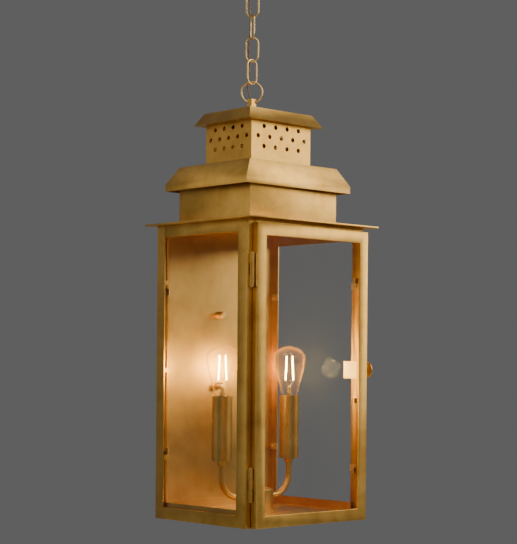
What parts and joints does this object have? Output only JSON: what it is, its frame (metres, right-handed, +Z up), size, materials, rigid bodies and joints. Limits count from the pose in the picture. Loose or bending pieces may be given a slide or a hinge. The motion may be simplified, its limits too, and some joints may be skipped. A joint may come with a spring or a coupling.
{
  "type": "hanging glass lantern",
  "caption": "Tall brass box lantern with a hinged glass door, twin candle lights and a vented tiered roof, hung by a ring and chain links from a ceiling canopy.",
  "frame": {"origin": "centre of the canopy's top face, where it meets the ceiling, on the chain's axis", "axes": "+Z up; the door faces -Y with its hinges on the -X side and its latch on the +X side"},
  "size_m": [0.2167, 0.1912, 0.6898],
  "materials": {
    "brass": "satin antique",
    "bright_brass": "polished",
    "steel": "plated",
    "clear_glass": "polished",
    "amber_glass": "polished",
    "filament": "glowing",
    "socket": "matt",
    "cord": "satin"
  },
  "bodies": {
    "ceiling_mount": {"canopy": "brass", "crossbar": "steel", "nipple": "bright_brass", "nipple_nut": "bright_brass", "hanger_loop": "brass"},
    "chain_link_4": {"chain_link_4": "brass"},
    "chain_link_3": {"chain_link_3": "brass"},
    "chain_link_2": {"chain_link_2": "brass", "supply_cord": "cord"},
    "chain_link_1": {"chain_link_1": "brass"},
    "ring": {"top_ring": "brass"},
    "door": {"door_frame": "brass", "door_glass": "clear_glass", "door_clips": "bright_brass", "hinge_leaves_door": "brass", "door_strike": "bright_brass"},
    "latch": {"latch_knob": "brass", "latch_cam": "bright_brass"},
    "lantern": {"hanger_stem": "brass", "cap": "brass", "chimney": "brass", "skirt": "brass", "lower_box": "brass", "roof_plate": "brass", "side_frame_right": "brass", "side_frame_left": "brass", "floor_pan": "brass", "front_header": "brass", "hub_body": "brass", "hub_cover": "brass", "arm_left": "brass", "arm_right": "brass", "coupling_left": "brass", "coupling_right": "brass", "sleeve_left": "brass", "sleeve_right": "brass", "hinge_leaves_frame": "brass", "back_pan": "brass", "lead_tube": "brass", "wall_screws": "bright_brass", "hinge_pins": "bright_brass", "glass_clips": "bright_brass", "stem_nut": "bright_brass", "hanger_strap": "bright_brass", "bulb_base_left": "steel", "bulb_base_right": "steel", "side_glass_left": "clear_glass", "side_glass_right": "clear_glass", "bulb_glass_left": "amber_glass", "bulb_glass_right": "amber_glass", "filament_left": "filament", "filament_right": "filament", "socket_left": "socket", "socket_right": "socket", "cord_bushing": "socket", "inner_lead": "cord"}
  },
  "joints": [
    {"name": "loop_swing", "type": "hinge", "parent": "ceiling_mount", "child": "chain_link_4", "pos_m": [0, 0, -0.0487], "axis": [0.7071, 0.7071, 0], "range_deg": [-25, 25], "deforming": ["supply_cord"]},
    {"name": "link_4_swing", "type": "hinge", "parent": "chain_link_4", "child": "chain_link_3", "pos_m": [0, 0, -0.0759], "axis": [0.7071, -0.7071, 0], "range_deg": [-25, 25], "deforming": ["supply_cord"]},
    {"name": "link_3_swing", "type": "hinge", "parent": "chain_link_3", "child": "chain_link_2", "pos_m": [0, 0, -0.1033], "axis": [-0.4226, -0.9063, 0], "range_deg": [-25, 25], "deforming": ["supply_cord"]},
    {"name": "link_2_swing", "type": "hinge", "parent": "chain_link_2", "child": "chain_link_1", "pos_m": [0, 0, -0.1307], "axis": [0.7071, -0.7071, 0], "range_deg": [-25, 25], "deforming": ["supply_cord"]},
    {"name": "link_1_swing", "type": "hinge", "parent": "chain_link_1", "child": "ring", "pos_m": [0, 0, -0.1581], "axis": [1, 0, 0], "range_deg": [-25, 25], "deforming": ["supply_cord"]},
    {"name": "ring_swing", "type": "hinge", "parent": "ring", "child": "lantern", "pos_m": [0, 0, -0.1811], "axis": [0.7071, -0.7071, 0], "range_deg": [-25, 25], "deforming": ["supply_cord"]},
    {"name": "door_hinge", "type": "hinge", "parent": "lantern", "child": "door", "pos_m": [-0.0902, -0.1025, -0.5148], "axis": [0, 0, -1], "range_deg": [0, 125]},
    {"name": "latch_turn", "type": "hinge", "parent": "lantern", "child": "latch", "pos_m": [0.095, -0.092, -0.5078], "axis": [-1, 0, 0], "range_deg": [0, 90]}
  ]
}
